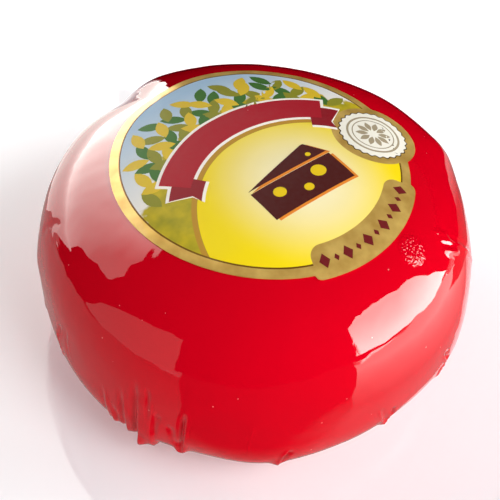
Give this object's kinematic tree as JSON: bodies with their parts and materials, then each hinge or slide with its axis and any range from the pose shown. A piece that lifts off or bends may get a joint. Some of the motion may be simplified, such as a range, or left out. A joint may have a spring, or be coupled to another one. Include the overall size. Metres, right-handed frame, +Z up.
{
  "type": "ball of cheese",
  "caption": "Squat ball of cheese shut in tight glossy red film, gathered in pleats underneath, with a die-cut gold-rimmed paper label on its domed top.",
  "frame": {"origin": "middle of the part's bounding box in plan, on the flat spot that the ball rests on", "axes": "+Z up through the domed top, -Y towards the front, where the film's widest pleats are, +X towards the label's seal"},
  "size_m": [0.081, 0.0826, 0.045],
  "materials": {
    "red_film": "tight glossy red film over the cheese, opaque",
    "printed_paper": "coated paper printed in yellow, cream and pale blue, with a gold foil rim"
  },
  "bodies": {
    "root": {"wrapped_cheese": "red_film", "label": "printed_paper"}
  },
  "joints": []
}
